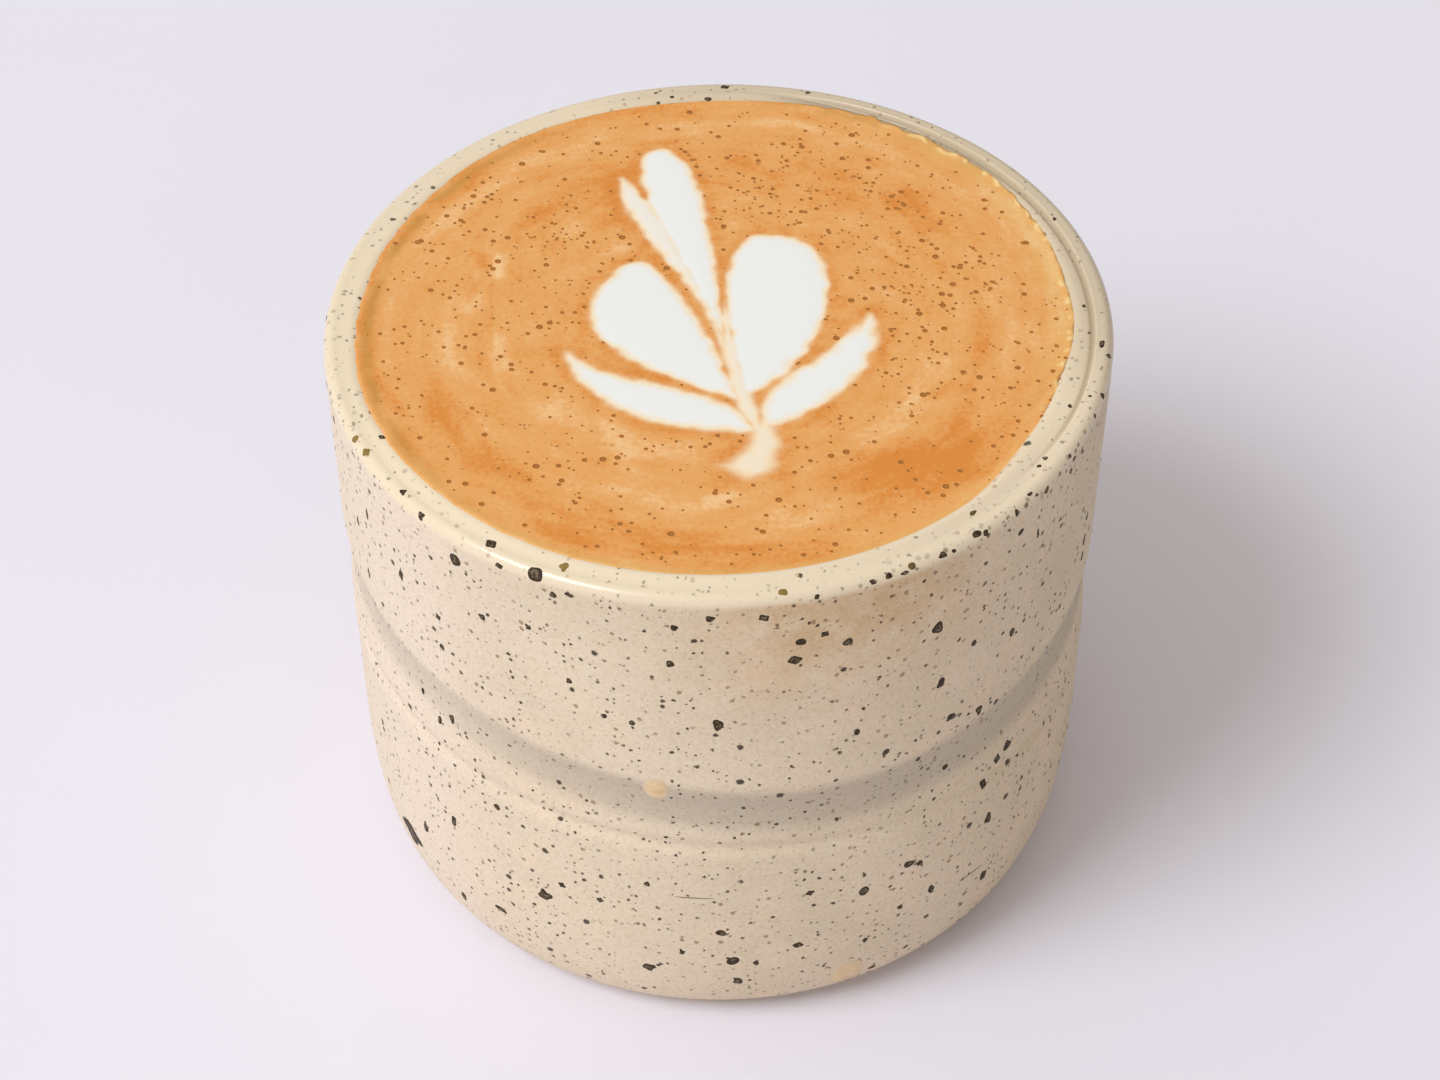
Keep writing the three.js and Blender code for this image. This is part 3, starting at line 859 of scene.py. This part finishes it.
def build_bubbles():
    """Small open bubbles: low craters that stand on the crema, joined into one mesh."""
    smallest, typical, largest = BUBBLE_RADIUS
    radius = LIP_RADIUS * np.sqrt(rng.random(BUBBLE_TRIES)) * 0.99
    angle = rng.random(BUBBLE_TRIES) * 2 * np.pi
    x, y = radius * np.cos(angle), radius * np.sin(angle)
    crowd = BUBBLE_FLOOR + sum(strength * np.exp(-((x - cx) ** 2 + (y - cy) ** 2) / reach ** 2)
                               for cx, cy, reach, strength in BUBBLE_CROWDS)
    cover, _ = milk_cover(x, y)
    kept = (rng.random(BUBBLE_TRIES) < crowd) & (cover < 0.1)
    sizes = np.clip(typical * np.exp(rng.normal(0, BUBBLE_SPREAD, BUBBLE_TRIES)), smallest, largest)
    surface = coffee_height(x, y) + 0.01

    turns = np.arange(BUBBLE_SIDES) / BUBBLE_SIDES * 2 * np.pi
    points, faces, across = [], [], []
    for bx, by, z, size in zip(x[kept], y[kept], surface[kept], sizes[kept]):
        first = len(points)
        points.append((bx, by, z))
        across.append(0)
        for share, rise in BUBBLE_PROFILE:
            reach = size * share
            points.extend((bx + reach * math.cos(a), by + reach * math.sin(a), z + rise * size)
                          for a in turns)
            across.extend([share] * BUBBLE_SIDES)
        faces.extend(fan(first, BUBBLE_SIDES, len(BUBBLE_PROFILE)))
    bubbles = add_mesh("bubbles", points, faces)
    add_attribute(bubbles, "across", across)
    return bubbles


# Marks on the cup

class Patches:
    """Low domes laid on the cup, joined into one mesh."""

    def __init__(self, cup_tree):
        self.tree = cup_tree
        self.points, self.faces, self.across, self.tint = [], [], [], []

    def add(self, where, facing, width, height, lift, ragged, sides=18, rings=4, tint=0):
        level = Vector((0, 0, 1)).cross(facing).normalized()
        upward = facing.cross(level)
        turns = np.arange(sides) / sides * 2 * np.pi
        reach = 1 + sum(ragged * rng.normal() * np.cos(count * turns + rng.random() * 6)
                        for count in (2, 3, 4))
        first = len(self.points)
        for ring in range(rings + 1):
            share = ring / rings
            for k in range(sides if ring else 1):
                side = level * (width / 2 * share * reach[k] * math.cos(turns[k]))
                up = upward * (height / 2 * share * reach[k] * math.sin(turns[k]))
                near, normal, _, _ = self.tree.find_nearest(where + side + up)
                self.points.append(near + normal * (lift * (1 - share ** 2) - 0.02 * (ring == rings)))
                self.across.append(share)
                self.tint.append(tint)
        self.faces.extend(fan(first, sides, rings))

    def finish(self, name):
        patches = add_mesh(name, self.points, self.faces)
        add_attribute(patches, "across", self.across)
        add_attribute(patches, "tint", self.tint)
        return patches


def photo_spot(camera_matrix, cup_tree, spot):
    """The place on the cup that shows at a spot's pixel of the photograph, and the way it faces.
    Both are None for a pixel beside the cup."""
    across = (spot.x - PHOTO_SIZE[0] / 2) / FOCAL_PIXELS
    up = (PHOTO_SIZE[1] / 2 - spot.y) / FOCAL_PIXELS
    sight = camera_matrix.to_3x3() @ Vector((across, up, -1))
    where, facing, _, _ = cup_tree.ray_cast(camera_matrix.translation / MM, sight.normalized())
    return where, facing


def build_iron_spots(camera_matrix, cup_tree):
    patches = Patches(cup_tree)
    for spot in SPOTS:
        where, facing = photo_spot(camera_matrix, cup_tree, spot)
        # A spot on the very outline can lie beside the cup
        if where is None:
            continue
        patches.add(where, facing, spot.width, spot.height, SPOT_LIFT, SPOT_RAGGED, tint=spot.tint)
    for _ in range(SCATTERED_SPOTS):
        angle = rng.uniform(*SCATTER_SPAN)
        outward = Vector((math.cos(angle), math.sin(angle), 0))
        start = outward * RIM_RADIUS * 2 + Vector((0, 0, lerp(2, HEIGHT - 1, rng.random())))
        where, facing, _, _ = cup_tree.ray_cast(start, -outward)
        size = 0.35 + 0.8 * rng.random() ** 3
        width = size * rng.uniform(0.9, 1.4)
        patches.add(where, facing, width, size, SPOT_LIFT, SPOT_RAGGED, sides=12, rings=2)
    return patches.finish("iron_spots")


def build_drips(camera_matrix, cup_tree):
    patches = Patches(cup_tree)
    for drip in DRIPS:
        where, facing = photo_spot(camera_matrix, cup_tree, drip)
        patches.add(where, facing, drip.width, drip.height, DRIP_LIFT, DRIP_RAGGED, sides=28, rings=8)
    return patches.finish("coffee_drips")


# Scene

def add_camera():
    back = Vector((0, -math.cos(CAMERA_ELEVATION), math.sin(CAMERA_ELEVATION)))
    up = Vector((0, math.sin(CAMERA_ELEVATION), math.cos(CAMERA_ELEVATION)))
    right = Vector((1, 0, 0))
    rolled_right = right * math.cos(CAMERA_ROLL) + up * math.sin(CAMERA_ROLL)
    rolled_up = up * math.cos(CAMERA_ROLL) - right * math.sin(CAMERA_ROLL)
    matrix = Matrix((rolled_right, rolled_up, back)).transposed().to_4x4()
    matrix.translation = (Vector(CAMERA_TARGET) + back * CAMERA_DISTANCE) * MM
    data = bpy.data.cameras.new("camera")
    data.sensor_width = SENSOR_WIDTH
    data.lens = SENSOR_WIDTH * FOCAL_PIXELS / PHOTO_SIZE[0]
    data.clip_start = 0.01
    camera = bpy.data.objects.new("camera", data)
    camera.matrix_world = matrix
    bpy.context.scene.collection.objects.link(camera)
    bpy.context.scene.camera = camera
    return matrix


def add_key_light():
    direction = Vector(KEY_DIRECTION).normalized()
    data = bpy.data.lights.new("key", "AREA")
    data.shape = "DISK"
    data.size = KEY_SIZE
    data.energy = KEY_POWER
    data.color = KEY_COLOUR
    key = bpy.data.objects.new("key", data)
    key.location = direction * KEY_DISTANCE + Vector((0, 0, HEIGHT * MM / 2))
    key.rotation_euler = direction.to_track_quat("Z", "Y").to_euler()
    bpy.context.scene.collection.objects.link(key)


def add_sky():
    """Soft light from all round, brighter on the key light's side."""
    world = bpy.data.worlds.new("studio")
    world.use_nodes = True
    nodes, links = world.node_tree.nodes, world.node_tree.links
    direction = nodes.new("ShaderNodeTexCoord")
    side = nodes.new("ShaderNodeVectorMath")
    side.operation = "DOT_PRODUCT"
    side.inputs[1].default_value = Vector(SKY_SIDE).normalized()
    share = nodes.new("ShaderNodeMapRange")
    share.inputs["From Min"].default_value = -1
    colour = nodes.new("ShaderNodeMix")
    colour.data_type = "RGBA"
    colour.inputs[6].default_value = (*SKY_DIM, 1)
    colour.inputs[7].default_value = (*SKY_BRIGHT, 1)
    links.new(direction.outputs["Generated"], side.inputs[0])
    links.new(side.outputs["Value"], share.inputs["Value"])
    links.new(share.outputs[0], colour.inputs[0])
    links.new(colour.outputs[2], nodes["Background"].inputs["Color"])
    bpy.context.scene.world = world
    bpy.context.scene.view_settings.view_transform = "Standard"


def add_floor():
    half = FLOOR_SIZE / 2 / MM
    corners = [(-half, -half, 0), (half, -half, 0), (half, half, 0), (-half, half, 0)]
    floor = add_mesh("floor", corners, [(0, 1, 2, 3)])
    t = NodeTree("paper")
    cloudy = t.noise(t.place(), 60, detail=3)
    t.feed(t.surface.inputs["Base Color"], t.mix(cloudy, srgb(228, 225, 234), srgb(232, 229, 238)))
    t.surface.inputs["Roughness"].default_value = 0.7
    floor.data.materials.append(t.material)


camera_matrix = add_camera()
add_key_light()
add_sky()
add_floor()

cup, cup_tree = build_cup()
dress(cup, stoneware_material(), "cup")
dress(build_iron_spots(camera_matrix, cup_tree), iron_material())
dress(build_drips(camera_matrix, cup_tree), drip_material())
dress(build_coffee(), drink_material("crema"), "coffee")
dress(build_milk(), drink_material("milk_foam"), "milk_tulip")
dress(build_bubbles(), bubble_material())
